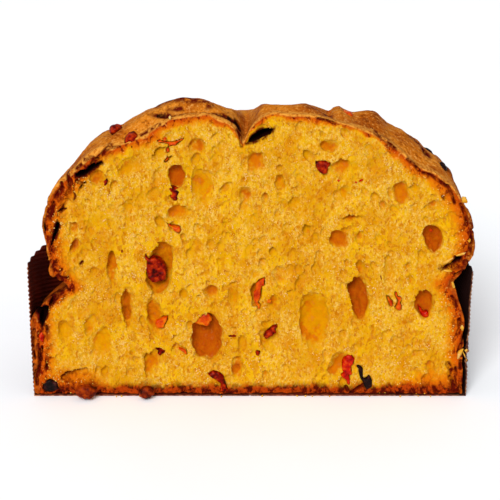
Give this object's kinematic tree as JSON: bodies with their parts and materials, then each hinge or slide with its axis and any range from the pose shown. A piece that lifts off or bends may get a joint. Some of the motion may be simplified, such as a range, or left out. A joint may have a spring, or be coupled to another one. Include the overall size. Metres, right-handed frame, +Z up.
{
  "type": "panettone half in its paper case",
  "caption": "Half of a low domed fruit bread cut through the middle, standing in its ribbed paper case with the cut face forward.",
  "frame": {"origin": "on the surface the case stands on, under the middle of the whole piece's box", "axes": "+Z up, cut face towards -Y, +X to the right of someone who faces the cut"},
  "size_m": [0.21, 0.1128, 0.1438],
  "materials": {
    "bread": "matte open crumb with a browned crust",
    "paper": "matte ribbed paper",
    "raisin": "wrinkled, half gloss",
    "peel": "candied, glossy",
    "cherry": "candied, glossy"
  },
  "bodies": {
    "root": {"cherry_low": "cherry", "cherry_slot": "cherry", "loaf": "bread", "paper_case": "paper", "peel_back": "peel", "peel_cavity_rim": "peel", "peel_lower": "peel", "peel_right": "peel", "peel_skin_top": "peel", "peel_small": "peel", "peel_streak": "peel", "peel_strip": "peel", "peel_upper": "peel", "raisin_back_left": "raisin", "raisin_back_middle": "raisin", "raisin_back_right": "raisin", "raisin_base": "raisin", "raisin_burnt_left": "raisin", "raisin_burnt_right": "raisin", "raisin_chimney": "raisin", "raisin_foot_left": "raisin", "raisin_foot_middle": "raisin", "raisin_heart": "raisin", "raisin_pit": "raisin", "raisin_skin_left": "raisin", "raisin_skin_oval": "raisin", "raisin_skin_shoulder": "raisin", "raisin_slant": "raisin", "raisin_under_crust": "raisin", "raisin_window": "raisin"}
  },
  "joints": []
}
